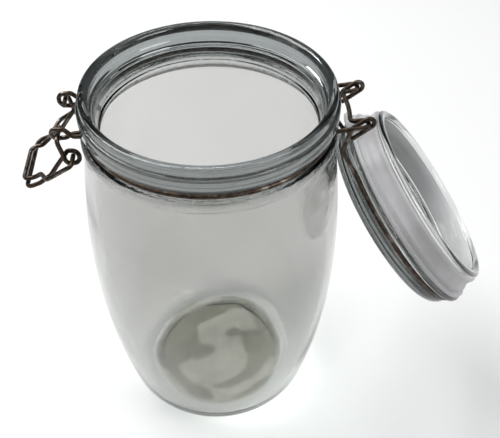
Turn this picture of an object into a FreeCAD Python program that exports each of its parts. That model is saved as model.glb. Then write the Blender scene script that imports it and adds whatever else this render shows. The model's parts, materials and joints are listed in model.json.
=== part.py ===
"""Lidded glass canister: a wire-bail storage jar, standing on its base with the lid swung open.

Frame: +Z up, origin at the centre of the base, the latch towards -X, the hinge towards +X.
The lid, its gasket and its wire are drawn closed on the jar and turned about the hinge axis.
"""
import FreeCAD, Part

import math
import os

import Sketcher
from FreeCAD import Rotation, Vector

NODE_FOLDER = "parts"

DRIVING_SIZES = {
    # jar, from the base up
    "rim_height": 171.0,
    "belly_radius": 55.1,
    "belly_share": 0.50877,
    "bead_root_radius": 49.28,
    "heel_radius": 15.0,
    "base_recess_depth": 1.2,
    "bearing_width": 4.0,
    "wall": 3.8,
    "floor_thickness": 6.5,
    "floor_arc_radius": 11.0,
    # jar, from the rim down
    "lip_radius": 49.2,
    "lip_drop": 3.6,
    "band_radius": 50.4,
    "band_drop": 10.0,
    "groove_depth": 3.2,
    "groove_drop": 15.4,
    "bead_height": 4.6,
    "bead_radius": 2.6,
    "edge_round": 0.9,
    "rim_inner_round": 2.2,
    "recess_radius": 45.5,
    "recess_drop": 5.4,
    "ledge_drop": 8.6,
    "mouth_radius": 44.0,
    "mouth_drop": 12.0,
    "throat_radius": 42.9,
    "throat_drop": 15.5,
    "throat_height": 2.0,
    "shoulder_drop": 24.0,
    "shoulder_arc_radius": 9.0,
    # lid, measured up from the rim plane while closed
    "flange_gap": 2.0,
    "flange_radius": 47.2,
    "flange_thickness": 2.2,
    "lid_groove_width": 2.8,
    "lid_top_radius": 44.9,
    "shoulder_share": 0.8667,
    "lid_height": 13.0,
    "lid_crown_rise": 0.6,
    "plug_radius": 41.0,
    "plug_depth": 9.4,
    "plug_bead": 1.1,
    "plug_bead_height": 1.2,
    "plug_wall": 3.0,
    "plug_round": 2.3,
    "dish_step_radius": 31.0,
    "dish_step_height": 1.2,
    "dish_roof_height": 6.0,
    "dish_corner": 4.0,
    # gasket
    "gasket_clearance": 0.1,
    "gasket_seat_gap": 0.25,
    "gasket_rim_radius": 46.4,
    "gasket_sleeve_radius": 44.6,
    "gasket_sleeve_drop": 1.9,
    "gasket_waist_arc": 4.5,
    "gasket_lip_radius": 43.0,
    "gasket_lip_height": 1.0,
    "gasket_drop": 7.9,
    "tab_width": 13.0,
    "tab_end_radius": 8.0,
    "tab_reach": 4.5,
    "tab_angle": 16.0,
    # wires
    "wire_radius": 0.9,
    "wire_clearance": 0.3,
    "neck_wire_drop": 12.8,
    "bend_radius": 1.9,
    # hinge at the back
    "hinge_reach": 60.2,
    "hinge_drop": 11.1,
    "hinge_offset": 12.4,
    "hinge_ear_width": 4.8,
    "hinge_bar_radius": 54.5,
    "hook_clearance": 0.35,
    "hook_length": 9.0,
    "arm_drop": 5.5,
    "arm_kink_reach": 55.5,
    "arm_kink_height": 4.0,
    "arm_leave_angle": 24.0,
    "lid_open_angle": 231.9,
    # latch at the front
    "pivot_reach": 57.0,
    "pivot_drop": 12.0,
    "pivot_offset": 11.1,
    "eye_radius": 2.45,
    "clasp_pin_reach": 52.4,
    "clasp_pin_drop": 20.3,
    "lever_pin_inner": 6.8,
    "lever_leg_offset": 15.8,
    "lever_length": 25.0,
    "clasp_shift": 1.1,
    "clasp_bar_shift": 1.5,
    "clasp_leg_offset": 19.2,
    "clasp_half_width": 10.0,
    "clasp_length": 24.6,
    "clasp_hook": 1.6,
    "latch_slope": 33.6,
}

doc = FreeCAD.newDocument("canister")
sheet = doc.addObject("Spreadsheet::Sheet", "Sizes")
for row, (alias, value) in enumerate(DRIVING_SIZES.items(), start=1):
    sheet.set("A%d" % row, alias)
    sheet.set("B%d" % row, str(value))
    sheet.setAlias("B%d" % row, alias)
doc.recompute()


class Size:
    """A number together with the sheet expression that it comes from."""

    def __init__(self, value, text):
        self.value = value
        self.text = text

    @staticmethod
    def of(other):
        if isinstance(other, Size):
            return other
        return Size(float(other), repr(float(other)))

    def _join(self, sign, other, value):
        return Size(value, "(%s %s %s)" % (self.text, sign, other.text))

    def __add__(self, other):
        other = Size.of(other)
        return self._join("+", other, self.value + other.value)

    def __sub__(self, other):
        other = Size.of(other)
        return self._join("-", other, self.value - other.value)

    def __mul__(self, other):
        other = Size.of(other)
        return self._join("*", other, self.value * other.value)

    def __truediv__(self, other):
        other = Size.of(other)
        return self._join("/", other, self.value / other.value)

    def __radd__(self, other):
        return Size.of(other) + self

    def __rsub__(self, other):
        return Size.of(other) - self

    def __rmul__(self, other):
        return Size.of(other) * self

    def __neg__(self):
        return Size(-self.value, "(-1 * %s)" % self.text)

    def root(self):
        return Size(math.sqrt(self.value), "sqrt(%s)" % self.text)


def size(alias):
    """The named driving size, as a value that keeps its expression."""
    return Size(float(sheet.get(alias)), "Sizes." + alias)


def mm(alias):
    """The named driving size as a plain number."""
    return float(sheet.get(alias))


# ---------------------------------------------------------------- sketches

def origin_plane(body, role):
    """The body's own origin plane that has the given role."""
    for feature in body.Origin.OriginFeatures:
        if feature.Role == role:
            return feature
    raise RuntimeError("no plane " + role)


def corner_geometry(corners, index, arcs):
    """Line or arc from one corner to the next; an arc's sign says which way it bulges."""
    start = Vector(corners[index][0].value, corners[index][1].value, 0)
    following = corners[(index + 1) % len(corners)]
    end = Vector(following[0].value, following[1].value, 0)
    if index not in arcs:
        return Part.LineSegment(start, end)
    radius, side = arcs[index]
    chord = end - start
    half = chord.Length / 2
    across = Vector(-chord.y, chord.x, 0).normalize() * side
    sagitta = radius.value - math.sqrt(max(radius.value ** 2 - half ** 2, 0.0))
    return Part.Arc(start, (start + end) / 2 + across * sagitta, end)


def profile_sketch(body, name, corners, arcs):
    """Closed outline through the corners (radius, height), each bound to the sheet.

    arcs maps a corner's index to the (radius, side) of the arc that leaves it.
    """
    sketch = body.newObject("Sketcher::SketchObject", name)
    sketch.AttachmentSupport = [(origin_plane(body, "XZ_Plane"), "")]
    sketch.MapMode = "FlatFace"
    edges = []
    for index in range(len(corners)):
        edges.append(sketch.addGeometry(corner_geometry(corners, index, arcs), False))

    def start_point(index):
        """An arc's ends are stored counter-clockwise, so its first corner may be its end."""
        if index in arcs and arcs[index][1] > 0:
            return 2
        return 1

    for index, edge in enumerate(edges):
        before = edges[index - 1]
        last = 3 - start_point(index - 1 if index else len(edges) - 1)
        sketch.addConstraint(
            Sketcher.Constraint("Coincident", before, last, edge, start_point(index)))
    for index, (radius, height) in enumerate(corners):
        edge = edges[index]
        point = start_point(index)
        for kind, length in (("DistanceX", radius), ("DistanceY", height)):
            if abs(length.value) < 1e-9:
                axis = -2 if kind == "DistanceX" else -1
                sketch.addConstraint(Sketcher.Constraint("PointOnObject", edge, point, axis))
                continue
            number = sketch.addConstraint(
                Sketcher.Constraint(kind, -1, 1, edge, point, length.value))
            sketch.setExpression("Constraints[%d]" % number, length.text)
        if index in arcs:
            number = sketch.addConstraint(
                Sketcher.Constraint("Radius", edge, arcs[index][0].value))
            sketch.setExpression("Constraints[%d]" % number, arcs[index][0].text)
    return sketch


def turned_body(name, corners, arcs):
    """A PartDesign body turned about Z from one outline."""
    body = doc.addObject("PartDesign::Body", name)
    body.Label = name
    sketch = profile_sketch(body, name + "_outline", corners, arcs)
    turn = body.newObject("PartDesign::Revolution", name + "_turn")
    turn.Profile = sketch
    turn.ReferenceAxis = (sketch, ["V_Axis"])
    turn.Angle = 360
    sketch.Visibility = False
    doc.recompute()
    return body


# ---------------------------------------------------------------- glass jar

zero = size("rim_height") - size("rim_height")
rim = size("rim_height")
belly_height = rim * size("belly_share")
bead_top = rim - size("groove_drop")
bead_bottom = bead_top - size("bead_height")
side_rise = bead_bottom - belly_height
side_fall = size("belly_radius") - size("bead_root_radius")
outer_arc = (side_rise * side_rise + side_fall * side_fall) / (2 * side_fall)
side_centre = size("belly_radius") - outer_arc


def side_radius_at(height, arc_radius):
    """Radius of the barrel-shaped side at a height, on an arc about the side's centre."""
    rise = height - belly_height
    return side_centre + (arc_radius * arc_radius - rise * rise).root()


def heel_corner(floor_height, arc_radius, side_arc):
    """Where an arc that lies on the floor and touches the side arc begins and ends."""
    centre_height = floor_height + arc_radius
    run = side_arc - arc_radius
    rise = centre_height - belly_height
    centre_radius = side_centre + (run * run - rise * rise).root()
    touch_radius = side_centre + side_arc * (centre_radius - side_centre) / run
    touch_height = belly_height + side_arc * rise / run
    return (centre_radius, floor_height), (touch_radius, touch_height)


edge_round = size("edge_round")
inner_arc = outer_arc - size("wall")
heel_start, heel_end = heel_corner(zero, size("heel_radius"), outer_arc)
floor_start, floor_end = heel_corner(
    size("floor_thickness"), size("floor_arc_radius"), inner_arc)
bearing_inner = heel_start[0] - size("bearing_width")
bead_root = size("bead_root_radius")
groove_floor = size("band_radius") - size("groove_depth")
band_bottom = rim - size("band_drop")
band_top = rim - size("lip_drop")
shoulder_height = rim - size("shoulder_drop")
shoulder_radius = side_radius_at(shoulder_height, inner_arc)

jar_corners = [
    (zero, size("base_recess_depth")),
    (bearing_inner - 2 * size("base_recess_depth"), size("base_recess_depth")),
    (bearing_inner, zero),
    heel_start,
    heel_end,
    (bead_root, bead_bottom),
    (bead_root, bead_top),
    (groove_floor, bead_top),
    (groove_floor, band_bottom),
    (size("band_radius") - edge_round, band_bottom),
    (size("band_radius"), band_bottom + edge_round),
    (size("band_radius"), band_top - edge_round),
    (size("band_radius") - edge_round, band_top),
    (size("lip_radius"), band_top),
    (size("lip_radius"), rim - edge_round),
    (size("lip_radius") - edge_round, rim),
    (size("recess_radius") + size("rim_inner_round"), rim),
    (size("recess_radius"), rim - size("rim_inner_round")),
    (size("recess_radius"), rim - size("recess_drop")),
    (size("mouth_radius"), rim - size("ledge_drop")),
    (size("mouth_radius"), rim - size("mouth_drop")),
    (size("throat_radius"), rim - size("throat_drop")),
    (size("throat_radius"), rim - size("throat_drop") - size("throat_height")),
    (shoulder_radius, shoulder_height),
    floor_end,
    floor_start,
    (zero, size("floor_thickness")),
]
jar_arcs = {
    3: (size("heel_radius"), -1),
    4: (outer_arc, -1),
    5: (size("bead_radius"), -1),
    9: (edge_round, -1),
    11: (edge_round, -1),
    14: (edge_round, -1),
    16: (size("rim_inner_round"), -1),
    22: (size("shoulder_arc_radius"), 1),
    23: (inner_arc, 1),
    24: (size("floor_arc_radius"), 1),
}
jar = turned_body("jar", jar_corners, jar_arcs)

# ---------------------------------------------------------------- lid, closed on the rim

flange_bottom = rim + size("flange_gap")
flange_top = flange_bottom + size("flange_thickness")
lid_groove_top = flange_top + size("lid_groove_width")
lid_edge = rim + size("lid_height")
shoulder = (lid_edge - lid_groove_top) * size("shoulder_share")
roof = rim + size("dish_roof_height")
step_roof = roof - size("dish_step_height")
plug_end = rim - size("plug_depth")
plug_inner = size("plug_radius") - size("plug_wall")
plug_bead = size("plug_radius") + size("plug_bead")
lid_wire_ring = size("lid_top_radius") - edge_round / 9
lid_groove_floor = lid_wire_ring - size("wire_radius") - size("wire_clearance")
crown_chord = size("lid_top_radius") - shoulder
crown_rise = size("lid_crown_rise")
crown_arc = (crown_chord * crown_chord + crown_rise * crown_rise) / (2 * crown_rise)

lid_corners = [
    (zero, roof),
    (size("dish_step_radius"), roof),
    (size("dish_step_radius"), step_roof),
    (plug_inner - size("dish_corner"), step_roof),
    (plug_inner, step_roof - size("dish_corner")),
    (plug_inner, plug_end),
    (plug_bead, plug_end),
    (size("plug_radius"), plug_end + size("plug_bead_height")),
    (size("plug_radius"), flange_bottom),
    (size("flange_radius") - edge_round, flange_bottom),
    (size("flange_radius"), flange_bottom + edge_round),
    (size("flange_radius"), flange_top - edge_round),
    (size("flange_radius") - edge_round, flange_top),
    (lid_groove_floor, flange_top),
    (lid_groove_floor, lid_groove_top),
    (size("lid_top_radius"), lid_groove_top),
    (size("lid_top_radius"), lid_edge - shoulder),
    (crown_chord, lid_edge),
    (zero, lid_edge + crown_rise),
]
lid_arcs = {
    3: (size("dish_corner"), 1),
    5: (size("plug_round"), -1),
    9: (edge_round, -1),
    11: (edge_round, -1),
    16: (shoulder, -1),
    17: (crown_arc, -1),
}
lid = turned_body("lid", lid_corners, lid_arcs)

# ---------------------------------------------------------------- gasket, closed

gasket_inner = size("plug_radius") + size("gasket_clearance")
gasket_end = rim - size("gasket_drop")
gasket_seat = rim + size("gasket_seat_gap")
gasket_top = flange_bottom - size("gasket_clearance")
lip_round = size("gasket_lip_height") / 2

gasket_corners = [
    (gasket_inner, gasket_end),
    (size("gasket_lip_radius") - lip_round, gasket_end),
    (size("gasket_lip_radius"), gasket_end + lip_round),
    (size("gasket_lip_radius"), gasket_end + size("gasket_lip_height")),
    (size("gasket_sleeve_radius"), rim - size("gasket_sleeve_drop")),
    (size("gasket_sleeve_radius"), gasket_seat),
    (size("gasket_rim_radius"), gasket_seat),
    (size("gasket_rim_radius"), gasket_top),
    (gasket_inner, gasket_top),
]
gasket_arcs = {
    1: (lip_round, -1),
    3: (size("gasket_waist_arc"), 1),
}
gasket = turned_body("gasket", gasket_corners, gasket_arcs)


def add_pull_tab(body):
    """A tongue that stands out of the gasket's rim, to pull the seal open by."""
    tab = body.newObject("Sketcher::SketchObject", "tab_outline")
    tab.AttachmentSupport = [(origin_plane(body, "XY_Plane"), "")]
    tab.MapMode = "FlatFace"
    half = size("tab_width") / 2
    inner = size("gasket_sleeve_radius")
    outer = size("gasket_rim_radius") + size("tab_reach") / 2
    corners = [(inner, -half), (outer, -half), (outer, half), (inner, half)]
    points = [Vector(x.value, y.value, 0) for x, y in corners]
    bulge = Vector(size("tab_reach").value / 2, 0, 0)
    edges = [
        tab.addGeometry(Part.LineSegment(points[0], points[1]), False),
        tab.addGeometry(Part.Arc(points[1], (points[1] + points[2]) / 2 + bulge, points[2]), False),
        tab.addGeometry(Part.LineSegment(points[2], points[3]), False),
        tab.addGeometry(Part.LineSegment(points[3], points[0]), False),
    ]
    for before, after in zip(edges, edges[1:] + edges[:1]):
        tab.addConstraint(Sketcher.Constraint("Coincident", before, 2, after, 1))
    tab.addConstraint(Sketcher.Constraint("Symmetric", edges[0], 1, edges[2], 2, -1))
    tab.addConstraint(Sketcher.Constraint("Symmetric", edges[0], 2, edges[2], 1, -1))
    sizes = [
        ("DistanceX", (-1, 1, edges[0], 1), inner),
        ("DistanceX", (-1, 1, edges[0], 2), outer),
        ("DistanceY", (edges[0], 1, edges[2], 2), size("tab_width")),
        ("DistanceY", (edges[0], 2, edges[2], 1), size("tab_width")),
        ("Radius", (edges[1],), size("tab_end_radius")),
    ]
    for kind, where, length in sizes:
        number = tab.addConstraint(Sketcher.Constraint(kind, *where, length.value))
        tab.setExpression("Constraints[%d]" % number, length.text)
    tab.AttachmentOffset = FreeCAD.Placement(
        Vector(0, 0, gasket_seat.value), Rotation(Vector(0, 0, 1), mm("tab_angle")))
    tab.setExpression("AttachmentOffset.Base.z", gasket_seat.text)
    tab.setExpression("AttachmentOffset.Rotation.Angle", "Sizes.tab_angle * 1 deg")
    pad = body.newObject("PartDesign::Pad", "tab")
    pad.Profile = tab
    thickness = gasket_top - gasket_seat
    pad.Length = thickness.value
    pad.setExpression("Length", thickness.text)
    tab.Visibility = False
    doc.recompute()


add_pull_tab(gasket)

# ---------------------------------------------------------------- bent wires

wire_radius = mm("wire_radius")
bend_radius = mm("bend_radius")


def circle_point(radius, degrees, height):
    """A point on a circle about Z."""
    angle = math.radians(degrees)
    return Vector(radius * math.cos(angle), radius * math.sin(angle), height)


def tangent_meets(radius, degrees, offset, height):
    """Where the tangent of a circle at an angle crosses the line y = offset."""
    angle = math.radians(degrees)
    along = (radius * math.sin(angle) - offset) / math.cos(angle)
    start = circle_point(radius, degrees, height)
    return start + Vector(math.sin(angle), -math.cos(angle), 0) * along


def ring_bends(radius, first, last, height, pieces):
    """Corners, each with the ring's own radius, that trace a circle from one angle to another."""
    step = (last - first) / pieces
    reach = radius / math.cos(math.radians(step / 2))
    middles = [first + step * (index + 0.5) for index in range(pieces)]
    return [(circle_point(reach, middle, height), radius) for middle in middles]


def mirrored(bends):
    """The same bends on the other side of the XZ plane, in reverse order."""
    return [(Vector(point.x, -point.y, point.z), radius) for point, radius in reversed(bends)]


def bent_path(bends):
    """Straight runs joined by tangent arcs, one arc at each inner corner."""
    edges = []
    here = bends[0][0]
    for index in range(1, len(bends) - 1):
        corner, radius = bends[index]
        inward = (corner - bends[index - 1][0]).normalize()
        outward = (bends[index + 1][0] - corner).normalize()
        turn = inward.getAngle(outward)
        cut = radius * math.tan(turn / 2)
        arc_start = corner - inward * cut
        arc_end = corner + outward * cut
        middle = (outward - inward).normalize()
        arc_middle = corner + middle * (radius / math.cos(turn / 2) - radius)
        if (arc_start - here).Length > 1e-4:
            edges.append(Part.LineSegment(here, arc_start).toShape())
        else:
            arc_start = here
        edges.append(Part.Arc(arc_start, arc_middle, arc_end).toShape())
        here = arc_end
    if (bends[-1][0] - here).Length > 1e-4:
        edges.append(Part.LineSegment(here, bends[-1][0]).toShape())
    return Part.Wire(edges)


def round_wire(name, bends):
    """A piece of round wire bent along a path."""
    path = bent_path(bends)
    start = path.Edges[0]
    direction = start.tangentAt(start.FirstParameter)
    section = Part.Wire(Part.makeCircle(wire_radius, bends[0][0], direction))
    solid = path.makePipeShell([section], True, False)
    piece = doc.addObject("Part::Feature", name)
    piece.Label = name
    piece.Shape = solid
    swept = math.pi * wire_radius ** 2 * path.Length
    print("%s: wire %.1f long, volume %.1f, section times length %.1f" % (
        name, path.Length, piece.Shape.Volume, swept))
    return piece


rim_z = mm("rim_height")
neck_z = rim_z - mm("neck_wire_drop")
neck_ring = groove_floor.value + wire_radius + mm("wire_clearance")


def front_eye_bends():
    """A loop of the neck wire that stands out at the front and carries one end of the lever."""
    root_reach = mm("band_radius") + mm("edge_round")
    reach = mm("pivot_reach")
    height = rim_z - mm("pivot_drop")
    eye = mm("eye_radius")
    middle = mm("pivot_offset")
    spread = wire_radius + mm("wire_clearance") / 2
    shapes = [
        (root_reach, -spread, neck_z),
        (reach - eye, -spread * 0.75, height - eye),
        (reach + eye, -spread * 0.3, height - eye),
        (reach + eye, spread * 0.3, height + eye),
        (reach - eye, spread * 0.75, height + eye),
        (root_reach, spread, neck_z),
    ]
    return [(Vector(-x, middle + y, z), eye * 0.94 if x > reach else bend_radius)
            for x, y, z in shapes]


def rear_ear_bends():
    """A hairpin of the neck wire that stands out at the back; the lid wire hooks round its tip."""
    half = mm("hinge_ear_width") / 2
    reach = mm("hinge_reach")
    height = rim_z - mm("hinge_drop")
    return [(Vector(reach, mm("hinge_offset") + half, height), half),
            (Vector(reach, mm("hinge_offset") - half, height), half)]


def neck_wire_bends():
    """Round the neck groove from one butt end at the front to the other."""
    spread = wire_radius + mm("wire_clearance") / 2
    eye_near = mm("pivot_offset") - spread
    eye_far = mm("pivot_offset") + spread
    ear_far = mm("hinge_offset") + mm("hinge_ear_width") / 2
    ear_near = mm("hinge_offset") - mm("hinge_ear_width") / 2
    bar_z = (neck_z + rim_z - mm("hinge_drop")) / 2
    front_leave, front_join, rear_leave, bar_join = 171.0, 160.0, 22.0, 7.5
    half = [(circle_point(neck_ring, 179.6, neck_z), 0)]
    half += ring_bends(neck_ring, 179.6, front_leave, neck_z, 1)
    half.append((tangent_meets(neck_ring, front_leave, eye_near, neck_z), bend_radius))
    half += front_eye_bends()
    half.append((tangent_meets(neck_ring, front_join, eye_far, neck_z), bend_radius))
    half += ring_bends(neck_ring, front_join, rear_leave, neck_z, 3)
    half.append((tangent_meets(neck_ring, rear_leave, ear_far, neck_z), bend_radius))
    half += rear_ear_bends()
    bar = mm("hinge_bar_radius")
    half.append((tangent_meets(bar, bar_join, ear_near, bar_z), bend_radius))
    half += ring_bends(bar, bar_join, 0, bar_z, 1)
    return half + mirrored(half)


def lid_wire_bends():
    """Round the lid's groove, with two arms at the back that end in hooks."""
    gap = 2 * wire_radius + mm("hook_clearance")
    reach = mm("hinge_reach")
    offset = mm("hinge_offset")
    height = rim_z - mm("hinge_drop")
    ring_z = flange_top.value + mm("lid_groove_width") / 2
    ring = lid_wire_ring.value
    leave = mm("arm_leave_angle")
    kink_z = rim_z + mm("arm_kink_height")
    half = [
        (Vector(reach - gap, offset, height + mm("hook_length")), 0),
        (Vector(reach - gap, offset, height - gap), gap),
        (Vector(reach + gap, offset, height - gap), gap),
        (Vector(reach + gap, offset, rim_z - mm("arm_drop")), bend_radius),
        (Vector(mm("arm_kink_reach"), offset + mm("wire_clearance"), kink_z), bend_radius),
        (tangent_meets(ring, leave, offset + gap, ring_z), bend_radius),
    ]
    half += ring_bends(ring, leave, 180, ring_z, 4)
    return half + mirrored(half)


slope = math.radians(mm("latch_slope"))
clasp_pin = Vector(-mm("clasp_pin_reach"), 0, rim_z - mm("clasp_pin_drop"))


def latch_point(along, below, across):
    """A point of the hanging latch: along its slope from the clasp pin, below it, and across."""
    outward = Vector(-math.cos(slope), 0, -math.sin(slope))
    under = Vector(math.sin(slope), 0, -math.cos(slope))
    return clasp_pin + outward * along + under * below + Vector(0, across, 0)


def lever_bends():
    """The handle: a pin in each front eye, a loop for the clasp, and a U to pull on."""
    pivot = Vector(-mm("pivot_reach"), 0, rim_z - mm("pivot_drop"))
    leg = mm("lever_leg_offset")
    eye = mm("eye_radius")
    pitch = 2 * wire_radius + mm("wire_clearance") / 3
    length = mm("lever_length")
    clearance = 2 * wire_radius + mm("wire_clearance")
    grip = leg - wire_radius

    def loop_corner(out, up, share):
        return clasp_pin + Vector(out * eye, leg - pitch * share, up * eye)

    half = [
        (pivot + Vector(0, mm("lever_pin_inner"), 0), 0),
        (pivot + Vector(0, leg, 0), bend_radius),
        (loop_corner(-1, -1, 0), eye * 0.94),
        (loop_corner(1, -1, 0.3), eye * 0.94),
        (loop_corner(1, 1, 0.7), eye * 0.94),
        (loop_corner(-0.7, 1, 1), bend_radius),
        (latch_point(length * 0.36, 0.3, leg - pitch), bend_radius * 2),
        (latch_point(length * 0.54, clearance, grip - wire_radius), bend_radius * 2),
        (latch_point(length * 0.76, clearance, grip), bend_radius * 2),
        (latch_point(length, wire_radius, grip), bend_radius * 1.5),
    ]
    return half + mirrored(half)


def clasp_bends():
    """The clasp: a pin in each loop of the lever, legs that step inwards, and a hooked bar."""
    leg = mm("clasp_leg_offset")
    bar = mm("clasp_half_width")
    length = mm("clasp_length")
    pin_end = mm("lever_leg_offset") - 3.5 * wire_radius
    legs = [
        (latch_point(0, 0, pin_end), 0),
        (latch_point(0, 0, leg), bend_radius * 0.85),
        (latch_point(length * 0.5, -wire_radius / 3, leg - wire_radius / 2), bend_radius),
    ]
    hook = [
        (latch_point(length * 0.67, -wire_radius / 3, bar + wire_radius), bend_radius),
        (latch_point(length * 0.82, 0, bar), bend_radius * 2),
        (latch_point(length, -mm("clasp_hook"), bar), bend_radius * 1.3),
    ]
    aside = Vector(0, -mm("clasp_shift"), 0)
    bar_aside = aside - Vector(0, mm("clasp_bar_shift"), 0)
    bends = [(point + aside, radius) for point, radius in legs]
    bends += [(point + bar_aside, radius) for point, radius in hook + mirrored(hook)]
    return bends + [(point + aside, radius) for point, radius in mirrored(legs)]


neck_wire = round_wire("neck_wire", neck_wire_bends())
lid_wire = round_wire("lid_wire", lid_wire_bends())
lever = round_wire("lever", lever_bends())
clasp = round_wire("clasp", clasp_bends())

# ---------------------------------------------------------------- the lid swings open

hinge_point = Vector(mm("hinge_reach"), 0, rim_z - mm("hinge_drop"))
swing = Rotation(Vector(0, 1, 0), mm("lid_open_angle"))
opened = FreeCAD.Placement(Vector(0, 0, 0), swing, hinge_point)
for piece in (lid, gasket, lid_wire):
    piece.Placement = opened

doc.recompute()

# ---------------------------------------------------------------- checks and output

for item in doc.Objects:
    if "Invalid" in item.State or "Error" in item.State:
        raise RuntimeError("%s failed: %s" % (item.Label, item.State))

pieces = [jar, lid, gasket, neck_wire, lid_wire, lever, clasp]
os.makedirs(NODE_FOLDER, exist_ok=True)
for piece in pieces:
    shape = piece.Shape
    if shape.isNull() or not shape.isValid() or len(shape.Solids) != 1:
        raise RuntimeError(piece.Label + " is not one valid solid")
    print("%s: volume %.1f" % (piece.Label, shape.Volume))
for piece in pieces:
    piece.Shape.exportStep(os.path.join(NODE_FOLDER, piece.Label + ".step"))
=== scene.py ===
"""Clip-top glass canister with its lid swung open: the looks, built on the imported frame.

Outlines are drawn in millimetres, and lathe() turns them into metres. The floor, the lights and
the camera are placed in metres.
"""

import json
import math

import bpy
import numpy as np
from mathutils import Matrix, Vector


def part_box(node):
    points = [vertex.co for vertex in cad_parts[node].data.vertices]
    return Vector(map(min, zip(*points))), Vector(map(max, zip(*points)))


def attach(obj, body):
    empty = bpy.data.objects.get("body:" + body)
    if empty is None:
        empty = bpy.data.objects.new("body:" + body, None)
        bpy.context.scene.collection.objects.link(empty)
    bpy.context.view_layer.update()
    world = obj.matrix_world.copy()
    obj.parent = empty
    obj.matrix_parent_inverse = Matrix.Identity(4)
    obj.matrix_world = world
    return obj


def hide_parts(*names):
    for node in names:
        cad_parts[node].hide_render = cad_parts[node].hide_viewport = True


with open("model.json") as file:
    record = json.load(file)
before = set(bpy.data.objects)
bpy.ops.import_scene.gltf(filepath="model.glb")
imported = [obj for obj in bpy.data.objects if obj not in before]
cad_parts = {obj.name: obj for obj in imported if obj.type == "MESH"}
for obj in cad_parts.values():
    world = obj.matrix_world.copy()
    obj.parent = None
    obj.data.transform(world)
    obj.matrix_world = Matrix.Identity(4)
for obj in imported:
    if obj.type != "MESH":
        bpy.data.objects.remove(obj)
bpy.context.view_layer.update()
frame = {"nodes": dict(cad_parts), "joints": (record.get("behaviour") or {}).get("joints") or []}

MM = 0.001

# ---------------------------------------------------------------- sizes, in millimetres

EDGE = 0.9

# the jar, from its foot up
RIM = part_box("jar")[1].z / MM
BELLY_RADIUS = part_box("jar")[1].x / MM
BELLY_HEIGHT = 87.0
SIDE_ARC = 355.0
SIDE_CENTRE = BELLY_RADIUS - SIDE_ARC
WALL = 3.8
BASE_RECESS = 1.2
HEEL_ARC = 15.0
FLOOR_TOP, FLOOR_ARC = 6.5, 11.0
SHOULDER_HEIGHT, SHOULDER_ARC = RIM - 24.0, 9.0
THROAT_RADIUS, THROAT_LOW, THROAT_HIGH = 42.9, RIM - 17.5, RIM - 15.5
MOUTH_RADIUS, MOUTH_LOW, MOUTH_HIGH = 44.0, RIM - 12.0, RIM - 8.6
RECESS_RADIUS, RECESS_LOW = 45.5, RIM - 5.4
BEAD_LOW, BEAD_HIGH, BEAD_ARC = RIM - 20.0, RIM - 15.4, 2.6
GROOVE_RADIUS = 47.2
BAND_RADIUS, BAND_LOW, BAND_HIGH = 50.4, RIM - 10.0, RIM - 3.6
LIP_RADIUS, RIM_ROUND = 49.2, 2.2
FOOT_INNER, FOOT_MIDDLE, FOOT_OUTER = 26.5, 30.4, 34.0

# the lid as it sits closed
PLUG_RADIUS, PLUG_LOW, PLUG_ROUND = 41.0, RIM - 9.4, 2.3
DISH_RADIUS, DISH_ARC, DISH_STEP, DISH_ROOF = 38.0, 4.0, RIM + 4.8, RIM + 6.0
FLANGE_RADIUS, FLANGE_LOW, FLANGE_HIGH = 47.2, RIM + 2.0, RIM + 4.2
LID_GROOVE_RADIUS, LID_GROOVE_HIGH = 43.6, RIM + 7.0
LID_RADIUS, LID_SHOULDER, CROWN = 44.9, 5.2, RIM + 13.0

# the seal as it sits closed
SEAL_BORE, SEAL_LIP, SEAL_SLEEVE, COLLAR_RADIUS = 41.1, 43.0, 44.6, 46.4
SEAL_FOOT, WAIST_LOW, WAIST_HIGH, WAIST_ARC = RIM - 7.9, RIM - 6.9, RIM - 1.9, 4.5
COLLAR_LOW, COLLAR_HIGH = RIM + 0.25, RIM + 1.9
TAB_ANGLE, TAB_HALF_WIDTH, TAB_LENGTH = math.radians(16), 6.5, 5.3

hinge = next(joint for joint in frame["joints"] if joint["name"] == "lid_hinge")
HINGE_POINT = np.array(hinge["pos_m"])
OPEN_ANGLE = math.radians(-hinge["range_deg"][0])


# ---------------------------------------------------------------- outlines

def arc(start, end, radius, side, count):
    """Points along a circular arc from start to end, both ends left out.

    The centre is on the chord's bisector, sqrt(radius^2 - (chord/2)^2) from the chord, on the
    right when side is +1, so that the arc bulges to the left of travel; count points share the
    angle.
    """
    start, end = np.array(start, float), np.array(end, float)
    chord = end - start
    length = np.hypot(*chord)
    left = np.array([-chord[1], chord[0]]) / length
    centre = (start + end) / 2 - left * side * math.sqrt(max(radius ** 2 - length ** 2 / 4, 0))
    first = math.atan2(*(start - centre)[::-1])
    last = math.atan2(*(end - centre)[::-1])
    sweep = (last - first + math.pi) % (2 * math.pi) - math.pi
    angles = first + sweep * np.arange(1, count + 1) / (count + 1)
    return centre + radius * np.column_stack([np.cos(angles), np.sin(angles)])


def straight(start, end, count):
    """Evenly spaced points on the line from start to end, with start but without end."""
    share = np.arange(count)[:, None] / count
    return np.array(start, float) * (1 - share) + np.array(end, float) * share


def outline(*parts):
    """Joins corner points and arcs into one array of (radius, height)."""
    return np.concatenate([np.atleast_2d(np.array(part, float)) for part in parts])


def curve(start, end, radius, side, count):
    """The same arc as arc() gives, with both its ends."""
    return outline(start, arc(start, end, radius, side, count), end)


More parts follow.
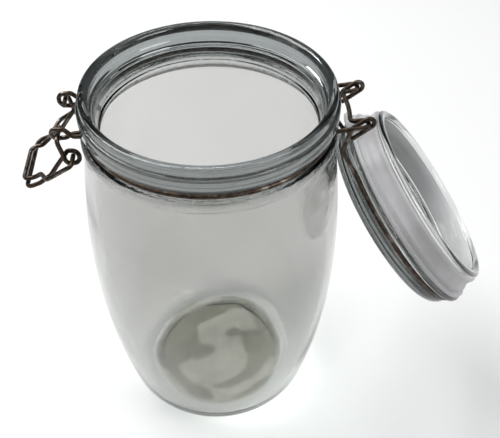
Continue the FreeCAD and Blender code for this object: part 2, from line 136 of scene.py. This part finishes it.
def softened(points, cut, closed):
    """Rounds every corner where an outline turns by more than 16 degrees.

    A corner is swapped for five points of the parabola (1-t)^2 a + 2t(1-t) p + t^2 b, where a and
    b lie on the two runs at cut, or at 0.42 of the run if that is shorter, from the corner p.
    """
    before, after = np.roll(points, 1, 0) - points, np.roll(points, -1, 0) - points
    reach_before = np.linalg.norm(before, axis=1, keepdims=True)
    reach_after = np.linalg.norm(after, axis=1, keepdims=True)
    cosine = np.sum(before * after, 1, keepdims=True) / (reach_before * reach_after)
    sharp = cosine[:, 0] > -math.cos(math.radians(16))
    if not closed:
        sharp[[0, -1]] = False
    a = points + before / reach_before * np.minimum(cut, 0.42 * reach_before)
    b = points + after / reach_after * np.minimum(cut, 0.42 * reach_after)
    t = np.linspace(0, 1, 5)[None, :, None]
    bend = (1 - t) ** 2 * a[:, None] + 2 * t * (1 - t) * points[:, None] + t ** 2 * b[:, None]
    keep = np.ones(bend.shape[:2], bool)
    keep[~sharp, 1:] = False
    bend[~sharp, 0] = points[~sharp]
    return bend[keep]


def side_radius(height, side_arc):
    """Radius of the barrel side: its centre plus sqrt(side_arc^2 - (height - belly height)^2)."""
    return SIDE_CENTRE + np.sqrt(side_arc ** 2 - (height - BELLY_HEIGHT) ** 2)


def touching(floor_height, radius, side_arc):
    """Where a small arc that lies on the floor and touches the barrel side begins and ends.

    Its centre is radius above the floor, and side_arc - radius from the side's own centre.
    """
    run, rise = side_arc - radius, floor_height + radius - BELLY_HEIGHT
    centre = SIDE_CENTRE + math.sqrt(run ** 2 - rise ** 2)
    share = side_arc / run
    return (centre, floor_height), (SIDE_CENTRE + share * (centre - SIDE_CENTRE),
                                    BELLY_HEIGHT + share * rise)


# ---------------------------------------------------------------- meshes

def lathe(name, profile, ring_count, closed, shift=None):
    """A surface turned about Z: (r cos a, r sin a, z) on a grid of profile points by ring angles.

    closed joins the profile's end to its start; otherwise both ends lie on the axis and each is
    one pole. shift(radius, height, angle) returns what is added to radius and to height.
    """
    angles = np.linspace(0, 2 * math.pi, ring_count, endpoint=False)
    body = profile if closed else profile[1:-1]
    radius, height = body[:, :1] + 0 * angles, body[:, 1:] + 0 * angles
    if shift is not None:
        out, up = shift(radius, height, angles[None, :] + 0 * radius)
        radius, height = radius + out, height + up
    points = np.stack([radius * np.cos(angles), radius * np.sin(angles), height], -1)
    rows = len(body)
    row = np.arange(rows if closed else rows - 1)[:, None]
    column = np.arange(ring_count)[None, :]
    near, far = row * ring_count, (row + 1) % rows * ring_count
    right = (column + 1) % ring_count
    quads = np.stack([near + column, near + right, far + right, far + column], -1)
    faces = quads.reshape(-1, 4).tolist()
    points = points.reshape(-1, 3)
    if not closed:
        column, right = column[0], right[0]
        low, high = len(points), len(points) + 1
        last = (rows - 1) * ring_count
        faces += np.column_stack([np.full(ring_count, low), right, column]).tolist()
        faces += np.column_stack([last + column, last + right, np.full(ring_count, high)]).tolist()
        poles = np.array([[0, 0, profile[0, 1]], [0, 0, profile[-1, 1]]])
        points = np.concatenate([points, poles])
    return name, points * MM, faces


def swung_open(points):
    """Turns points about the lid's hinge, whose axis is +Y, by the angle the lid stands open."""
    x, y, z = (points - HINGE_POINT).T
    cosine, sine = math.cos(OPEN_ANGLE), math.sin(OPEN_ANGLE)
    return np.column_stack([x * cosine + z * sine, y, z * cosine - x * sine]) + HINGE_POINT


def piece(name, points, faces, body, nodes, slot):
    """A smooth mesh object at the origin that rides on a body and stands for CAD nodes."""
    mesh = bpy.data.meshes.new(name)
    mesh.from_pydata(points.tolist(), [], faces)
    mesh.polygons.foreach_set("use_smooth", np.ones(len(mesh.polygons), bool))
    mesh.update()
    thing = bpy.data.objects.new(name, mesh)
    bpy.context.scene.collection.objects.link(thing)
    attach(thing, body)
    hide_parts(*nodes)
    return thing


# ---------------------------------------------------------------- the jar's glass

def jar_outline():
    """Outside of the jar from the middle of its base up to the rim, then down the inside."""
    heel_start, heel_end = touching(0, HEEL_ARC, SIDE_ARC)
    floor_start, floor_end = touching(FLOOR_TOP, FLOOR_ARC, SIDE_ARC - WALL)
    bead_root = side_radius(BEAD_LOW, SIDE_ARC)
    bead_start, bead_end = (bead_root, BEAD_LOW), (bead_root, BEAD_HIGH)
    bearing = heel_start[0] - 1.6
    throat_end = (THROAT_RADIUS, THROAT_LOW)
    shoulder = (side_radius(SHOULDER_HEIGHT, SIDE_ARC - WALL), SHOULDER_HEIGHT)
    base = [(radius, BASE_RECESS) for radius in (0, 8, 16, 22, 26, 27.4)]
    floor = [(radius, FLOOR_TOP) for radius in (24, 15, 7, 0)]
    return outline(
        base, (28.6, 1.15), (bearing - 1.2, 1.0), (bearing - 0.5, 0.5), (bearing, 0),
        (bearing + 0.8, 0), heel_start, arc(heel_start, heel_end, HEEL_ARC, -1, 13), heel_end,
        arc(heel_end, bead_start, SIDE_ARC, -1, 34),
        curve(bead_start, bead_end, BEAD_ARC, -1, 9),
        (GROOVE_RADIUS, BEAD_HIGH), (GROOVE_RADIUS, BAND_LOW),
        curve((BAND_RADIUS - EDGE, BAND_LOW), (BAND_RADIUS, BAND_LOW + EDGE), EDGE, -1, 3),
        curve((BAND_RADIUS, BAND_HIGH - EDGE), (BAND_RADIUS - EDGE, BAND_HIGH), EDGE, -1, 3),
        (LIP_RADIUS, BAND_HIGH),
        curve((LIP_RADIUS, RIM - EDGE), (LIP_RADIUS - EDGE, RIM), EDGE, -1, 3),
        (RECESS_RADIUS + RIM_ROUND, RIM),
        arc((RECESS_RADIUS + RIM_ROUND, RIM), (RECESS_RADIUS, RIM - RIM_ROUND), RIM_ROUND, -1, 6),
        straight((RECESS_RADIUS, RIM - RIM_ROUND), (RECESS_RADIUS, RECESS_LOW), 6),
        straight((RECESS_RADIUS, RECESS_LOW), (MOUTH_RADIUS, MOUTH_HIGH), 8),
        straight((MOUTH_RADIUS, MOUTH_HIGH), (MOUTH_RADIUS, MOUTH_LOW), 8),
        straight((MOUTH_RADIUS, MOUTH_LOW), (THROAT_RADIUS, THROAT_HIGH), 8),
        straight((THROAT_RADIUS, THROAT_HIGH), throat_end, 4), throat_end,
        arc(throat_end, shoulder, SHOULDER_ARC, 1, 6), shoulder,
        arc(shoulder, floor_end, SIDE_ARC - WALL, 1, 34), floor_end,
        arc(floor_end, floor_start, FLOOR_ARC, 1, 11), floor_start, floor)


def jar_flow(radius, height, angle):
    """How pressed glass strays from a true turned shape.

    The inside swells and shrinks by up to a third of a millimetre in slow waves; the foot ring
    wavers and carries short radial ribs, the positive half of a sine of the angle; the floor
    dips in slow waves; the throat keeps the mould's fine rings, a sine of the depth below the rim.
    """
    inner_side = side_radius(height, SIDE_ARC - WALL)
    side_low, side_high = 24, RIM - 30
    inside = (radius < inner_side + 0.2) & (height > side_low) & (height < side_high)
    ease = np.where(inside, np.sin(math.pi * (height - side_low) / (side_high - side_low)), 0)
    waves = (0.16 * np.sin(2 * angle + height / 31) + 0.12 * np.sin(3 * angle - height / 17)
             + 0.07 * np.sin(5 * angle + height / 9))

    foot = (height < BASE_RECESS + 0.01) & (radius > FOOT_INNER) & (radius < FOOT_OUTER)
    band = np.where(foot, np.clip(1.4 - np.abs(radius - FOOT_MIDDLE) / 2.6, 0, 1), 0)
    ribs = 0.7 * band * np.clip(np.sin(72 * angle) + 0.3 * np.sin(17 * angle), 0, 1)
    ring = band * (0.35 * np.sin(7 * angle) + 0.25 * np.sin(11 * angle + 1))

    on_floor = (np.abs(height - FLOOR_TOP) < 0.5) & (radius < FOOT_OUTER)
    dips = 0.22 * np.sin(radius / 5 + 2 * angle) * np.clip(radius / 12, 0, 1)
    throat = (radius < RECESS_RADIUS + 0.1) & (height > THROAT_LOW) & (height < RIM - 2.5)
    mould = np.where(throat, 0.16 * np.sin(2 * math.pi * (RIM - height) / 2.3), 0)
    return ease * waves + ring + mould, ribs + np.where(on_floor, dips, 0)


jar_glass = piece(*lathe("jar_glass", softened(jar_outline(), 0.45, False), 360, False, jar_flow),
                  "jar_body", ["jar"], "clear_glass")


# ---------------------------------------------------------------- the lid's glass

def lid_outline():
    """Lid as it sits closed: its underside from the middle outwards, then over its top."""
    roof = [(radius, DISH_ROOF) for radius in (0, 10, 20, 30.2)]
    crown = [(30, CROWN + 0.26), (20, CROWN + 0.45), (10, CROWN + 0.56), (0, CROWN + 0.6)]
    flange_edge = FLANGE_RADIUS - EDGE
    return outline(
        roof, (31.2, DISH_STEP),
        curve((DISH_RADIUS - DISH_ARC, DISH_STEP), (DISH_RADIUS, DISH_STEP - DISH_ARC),
              DISH_ARC, 1, 7),
        curve((DISH_RADIUS, PLUG_LOW), (PLUG_RADIUS + 1.1, PLUG_LOW), PLUG_ROUND, -1, 9),
        (PLUG_RADIUS, PLUG_LOW + 1.2), (PLUG_RADIUS, FLANGE_LOW),
        curve((flange_edge, FLANGE_LOW), (FLANGE_RADIUS, FLANGE_LOW + EDGE), EDGE, -1, 4),
        curve((FLANGE_RADIUS, FLANGE_HIGH - EDGE), (flange_edge, FLANGE_HIGH), EDGE, -1, 4),
        (LID_GROOVE_RADIUS, FLANGE_HIGH), (LID_GROOVE_RADIUS, LID_GROOVE_HIGH),
        (LID_RADIUS, LID_GROOVE_HIGH),
        curve((LID_RADIUS, CROWN - LID_SHOULDER), (LID_RADIUS - LID_SHOULDER, CROWN),
              LID_SHOULDER, -1, 8),
        crown)


name, points, faces = lathe("lid_glass", softened(lid_outline(), 0.45, False), 288, False)
lid_glass = piece(name, swung_open(points), faces, "lid_body", ["lid"], "lid_glass")


# ---------------------------------------------------------------- the seal

def seal_outline():
    """Section of the seal: a flat collar, a sleeve, a hollow waist and a small lip."""
    return outline(
        (SEAL_BORE, SEAL_FOOT), (SEAL_LIP - 0.5, SEAL_FOOT), (SEAL_LIP, SEAL_FOOT + 0.5),
        curve((SEAL_LIP, WAIST_LOW), (SEAL_SLEEVE, WAIST_HIGH), WAIST_ARC, 1, 7),
        (SEAL_SLEEVE, COLLAR_LOW), (COLLAR_RADIUS, COLLAR_LOW), (COLLAR_RADIUS, COLLAR_HIGH),
        (SEAL_BORE, COLLAR_HIGH))


def tab_reach(radius, height, angle):
    """The pull tab, where the collar's outer edge moves out by its length times sqrt(1 - u^4).

    u is the distance across the tab from its middle over half its width.
    """
    across = COLLAR_RADIUS * np.sin(angle - TAB_ANGLE) / TAB_HALF_WIDTH
    facing = np.cos(angle - TAB_ANGLE) > 0
    collar = (radius > COLLAR_RADIUS - 0.4) & facing & (np.abs(across) < 1)
    grow = TAB_LENGTH * np.sqrt(np.clip(1 - across ** 4, 0, 1))
    return np.where(collar, grow, 0), 0 * radius


name, points, faces = lathe("seal_ring", softened(seal_outline(), 0.35, True), 360, True, tab_reach)
seal_ring = piece(name, swung_open(points), faces, "lid_body", ["gasket"], "seal_rubber")


# ---------------------------------------------------------------- shader maths

class Signal:
    """A shader socket that adds, subtracts, multiplies and divides through Math nodes."""

    def __init__(self, finish, socket):
        self.finish = finish
        self.socket = socket

    def math(self, operation, *values):
        inputs = dict(enumerate(values))
        return self.finish.node("ShaderNodeMath", {"operation": operation}, inputs)

    def __add__(self, other):
        return self.math("ADD", self, other)

    def __radd__(self, other):
        return self.math("ADD", other, self)

    def __sub__(self, other):
        return self.math("SUBTRACT", self, other)

    def __rsub__(self, other):
        return self.math("SUBTRACT", other, self)

    def __mul__(self, other):
        return self.math("MULTIPLY", self, other)

    def __rmul__(self, other):
        return self.math("MULTIPLY", other, self)

    def __truediv__(self, other):
        return self.math("DIVIDE", self, other)

    def __pow__(self, other):
        return self.math("POWER", self, other)


class Finish:
    """A material, with one method that adds any node to it and a few that name common ones."""

    def __init__(self, name):
        self.material = bpy.data.materials.new(name)
        self.material.use_nodes = True
        self.tree = self.material.node_tree
        self.tree.nodes.clear()

    def node(self, kind, settings=None, inputs=None, output=0):
        """Adds a node: its settings first, then a value or a link on each socket named."""
        made = self.tree.nodes.new(kind)
        for key, value in (settings or {}).items():
            setattr(made, key, value)
        for key, value in (inputs or {}).items():
            if isinstance(value, Signal):
                self.tree.links.new(value.socket, made.inputs[key])
            else:
                made.inputs[key].default_value = value
        return Signal(self, made.outputs[output]) if made.outputs else None

    def place(self):
        return self.node("ShaderNodeTexCoord", output="Object")

    def noise(self, scale, detail=4.0, roughness=0.55, stretch=(1, 1, 1)):
        where = self.node("ShaderNodeMapping", inputs={"Vector": self.place(), "Scale": stretch})
        return self.node("ShaderNodeTexNoise", inputs={
            "Vector": where, "Scale": scale, "Detail": detail, "Roughness": roughness})

    def spread(self, value, low, high, to_low=0.0, to_high=1.0):
        """Carries low..high to to_low..to_high, and holds the ends beyond them."""
        return self.node("ShaderNodeMapRange", {"clamp": True}, {
            "Value": value, "From Min": low, "From Max": high, "To Min": to_low, "To Max": to_high})

    def mix(self, factor, first, second):
        return self.node("ShaderNodeMix", {"data_type": "RGBA"}, {
            0: factor, 6: first, 7: second}, output=2)

    def finish(self, shader, depth=None):
        """Joins the surface, and the volume if there is one, to the material's output."""
        ends = {"Surface": shader}
        if depth is not None:
            ends["Volume"] = depth
        self.node("ShaderNodeOutputMaterial", inputs=ends)
        return self.material


def rgb(red, green, blue):
    return (red, green, blue, 1.0)


# ---------------------------------------------------------------- materials

def clear_glass(name, low_tint, high_tint, density, painted_shade_and_grain):
    """Pressed glass: a faint tint that drifts, slow ripples, and, when asked for, a fine grain
    and painted shade.

    Thick glass is greener and darker, because light is lost along its way; shadows stay light.
    When asked for, the jar's floor gets painted shade where the base sits on the floor, a dark
    brown-olive tint clouded by noise; the neck and rim get painted shade, a darker grey tint;
    and the bead and foot are speckled.
    """
    f = Finish(name)
    drift = f.noise(14.0, 2.0)
    tint = f.mix(f.spread(drift, 0.35, 0.65), low_tint, high_tint)
    height = f.noise(26.0, 2.0, stretch=(1, 1, 0.6)) * 0.5
    rough = f.spread(f.noise(90.0, 3.0), 0.3, 0.7, 0.0, 0.035)
    if painted_shade_and_grain:
        x, y, z = (f.node("ShaderNodeSeparateXYZ", inputs={"Vector": f.place()}, output=i)
                   for i in range(3))
        level = z / MM
        reach = (x * x + y * y) ** 0.5 / MM
        # Painted shade: the jar's floor is tinted dark brown-olive, clouded by noise, where the
        # base sits on the floor.
        base = ((1 - f.spread(level, FLOOR_TOP + 0.5, FLOOR_TOP + 2.0))
                * (1 - f.spread(reach, FOOT_OUTER - 2.0, FOOT_OUTER)))
        painted_base_shade = f.mix(f.spread(f.noise(45.0, 3.0), 0.35, 0.65),
                     rgb(0.24, 0.238, 0.17), rgb(0.39, 0.383, 0.305))
        tint = f.mix(base, tint, painted_base_shade)
        # Painted shade: from the neck up to the rim the glass is tinted darker grey, standing in
        # for the dark surroundings seen in it.
        neck = f.spread(level, RIM - 16.5, RIM - 14.5)
        tint = f.mix(neck, tint, rgb(0.40, 0.425, 0.425))
        bead = (f.spread(level, BEAD_LOW - 0.5, BEAD_LOW + 0.5)
                * (1 - f.spread(level, BEAD_HIGH - 0.2, BEAD_HIGH + 0.4)))
        foot = 1 - f.spread(level, 0.0, 1.6)
        patch = bead + foot * 0.9
        height = height + f.noise(520.0, 3.0, 0.7) * patch * 3.2
        rough = rough + patch * 0.14
    bump = f.node("ShaderNodeBump", inputs={"Height": height, "Strength": 0.3, "Distance": 0.0008})
    glass = f.node("ShaderNodeBsdfPrincipled", inputs={
        "Base Color": tint, "Roughness": rough, "IOR": 1.5, "Transmission Weight": 1.0,
        "Normal": bump})
    passing = f.node("ShaderNodeBsdfTransparent", inputs={"Color": rgb(0.93, 0.94, 0.935)})
    shadow = f.node("ShaderNodeLightPath", output="Is Shadow Ray")
    shader = f.node("ShaderNodeMixShader", inputs={0: shadow, 1: glass, 2: passing})
    depth = f.node("ShaderNodeVolumeAbsorption", inputs={
        "Color": rgb(0.53, 0.557, 0.552), "Density": density})
    return f.finish(shader, depth)


def frosted_rubber():
    """Milky rubber: soft grey-lilac clouds, a fine tooth, and light that passes dimly through."""
    f = Finish("frosted_rubber")
    cloud = f.noise(60.0, 4.0)
    colour = f.mix(f.spread(cloud, 0.3, 0.7), rgb(0.59, 0.58, 0.585), rgb(0.72, 0.71, 0.73))
    tooth = f.noise(900.0, 2.0)
    bump = f.node("ShaderNodeBump", inputs={
        "Height": tooth + cloud * 1.5, "Strength": 0.25, "Distance": 0.0003})
    shader = f.node("ShaderNodeBsdfPrincipled", inputs={
        "Base Color": colour, "Roughness": f.spread(cloud, 0.3, 0.7, 0.38, 0.55),
        "IOR": 1.43, "Transmission Weight": 0.3, "Subsurface Weight": 0.6,
        "Subsurface Radius": (1.0, 1.0, 1.0), "Subsurface Scale": 0.004, "Normal": bump})
    return f.finish(shader)


def oxidised_wire():
    """Steel wire gone dark: brown-black skin, worn paler in streaks, with draw marks."""
    f = Finish("oxidised_wire")
    patch = f.noise(160.0, 5.0, 0.65)
    wear = f.spread(patch, 0.53, 0.80)
    dark = f.mix(f.spread(f.noise(420.0, 3.0), 0.35, 0.65),
                 rgb(0.035, 0.028, 0.024), rgb(0.105, 0.075, 0.055))
    colour = f.mix(wear, dark, rgb(0.36, 0.33, 0.30))
    marks = f.noise(1400.0, 2.0)
    bump = f.node("ShaderNodeBump", inputs={
        "Height": marks + patch, "Strength": 0.35, "Distance": 0.0002})
    shader = f.node("ShaderNodeBsdfPrincipled", inputs={
        "Base Color": colour, "Metallic": 1.0,
        "Roughness": f.spread(patch, 0.3, 0.75, 0.48, 0.24), "Normal": bump})
    return f.finish(shader)


jar_glass.data.materials.append(clear_glass(
    "jar_pressed_glass", rgb(0.725, 0.718, 0.705), rgb(0.765, 0.758, 0.745), 60.0, True))
lid_glass.data.materials.append(clear_glass(
    "lid_pressed_glass", rgb(0.87, 0.875, 0.872), rgb(0.91, 0.914, 0.912), 34.0, False))
seal_ring.data.materials.append(frosted_rubber())
wire_finish = oxidised_wire()
for node in ("neck_wire", "lid_wire", "lever", "clasp"):
    wire = frame["nodes"][node]
    wire.data.materials.clear()
    wire.data.materials.append(wire_finish)


# ---------------------------------------------------------------- floor and light, in metres

def floor_sheet(half_width, drop):
    """A flat square under the jar, a fraction below the foot so that glass and floor don't meet."""
    mesh = bpy.data.meshes.new("floor")
    corners = [(x * half_width, y * half_width, -drop)
               for x, y in ((-1, -1), (1, -1), (1, 1), (-1, 1))]
    mesh.from_pydata(corners, [], [(0, 1, 2, 3)])
    thing = bpy.data.objects.new("floor", mesh)
    bpy.context.scene.collection.objects.link(thing)
    f = Finish("pale_floor")
    colour = f.mix(f.noise(3.0, 2.0), rgb(0.87, 0.87, 0.865), rgb(0.89, 0.89, 0.885))
    shader = f.node("ShaderNodeBsdfPrincipled", inputs={
        "Base Color": colour, "Roughness": 0.9, "Specular IOR Level": 0.1})
    mesh.materials.append(f.finish(shader))


def soft_light(name, place, aim, width, height, power):
    """A rectangular soft light at a place, facing a point; its power is in watts."""
    data = bpy.data.lights.new(name, "AREA")
    data.shape = "RECTANGLE"
    data.size, data.size_y = width, height
    data.energy = power
    lamp = bpy.data.objects.new(name, data)
    lamp.location = place
    lamp.rotation_euler = (Vector(aim) - Vector(place)).to_track_quat("-Z", "Y").to_euler()
    bpy.context.scene.collection.objects.link(lamp)


MID_JAR, JAR_BASE = (0, 0, 0.08), (0, 0, 0.0)
floor_sheet(4.0, 0.0004)
soft_light("key", (-0.7, 0.5, 1.5), MID_JAR, 1.2, 1.0, 30)
soft_light("fill", (1.0, -0.6, 1.3), MID_JAR, 0.7, 0.7, 10)
soft_light("window", (0.014, 0.80, 1.15), JAR_BASE, 0.20, 0.13, 0.7)

world = bpy.data.worlds.new("studio")
world.use_nodes = True
backdrop = world.node_tree.nodes["Background"]
backdrop.inputs["Color"].default_value = rgb(0.90, 0.96, 1.0)
backdrop.inputs["Strength"].default_value = 0.12
bpy.context.scene.world = world
bpy.context.scene.view_settings.view_transform = "Standard"

# ---------------------------------------------------------------- camera

EYE = (0, -0.22435, 0.32035)
FOCAL_LENGTH, SENSOR_WIDTH = 50.4, 36
PITCH, YAW, ROLL = math.radians(44.51), math.radians(4.12), math.radians(-0.55)

forward = Vector((math.sin(YAW) * math.cos(PITCH), math.cos(YAW) * math.cos(PITCH),
                  -math.sin(PITCH)))
level_right = Vector((math.cos(YAW), -math.sin(YAW), 0))
down = forward.cross(level_right)
right = level_right * math.cos(ROLL) + down * math.sin(ROLL)
lower = down * math.cos(ROLL) - level_right * math.sin(ROLL)
lens = bpy.data.cameras.new("camera")
lens.sensor_fit = "HORIZONTAL"
lens.sensor_width = SENSOR_WIDTH
lens.lens = FOCAL_LENGTH
lens.clip_start = 0.01
camera = bpy.data.objects.new("camera", lens)
camera.matrix_world = Matrix.Translation(EYE) @ Matrix(
    (right, -lower, -forward)).transposed().to_4x4()
bpy.context.scene.collection.objects.link(camera)
bpy.context.scene.camera = camera
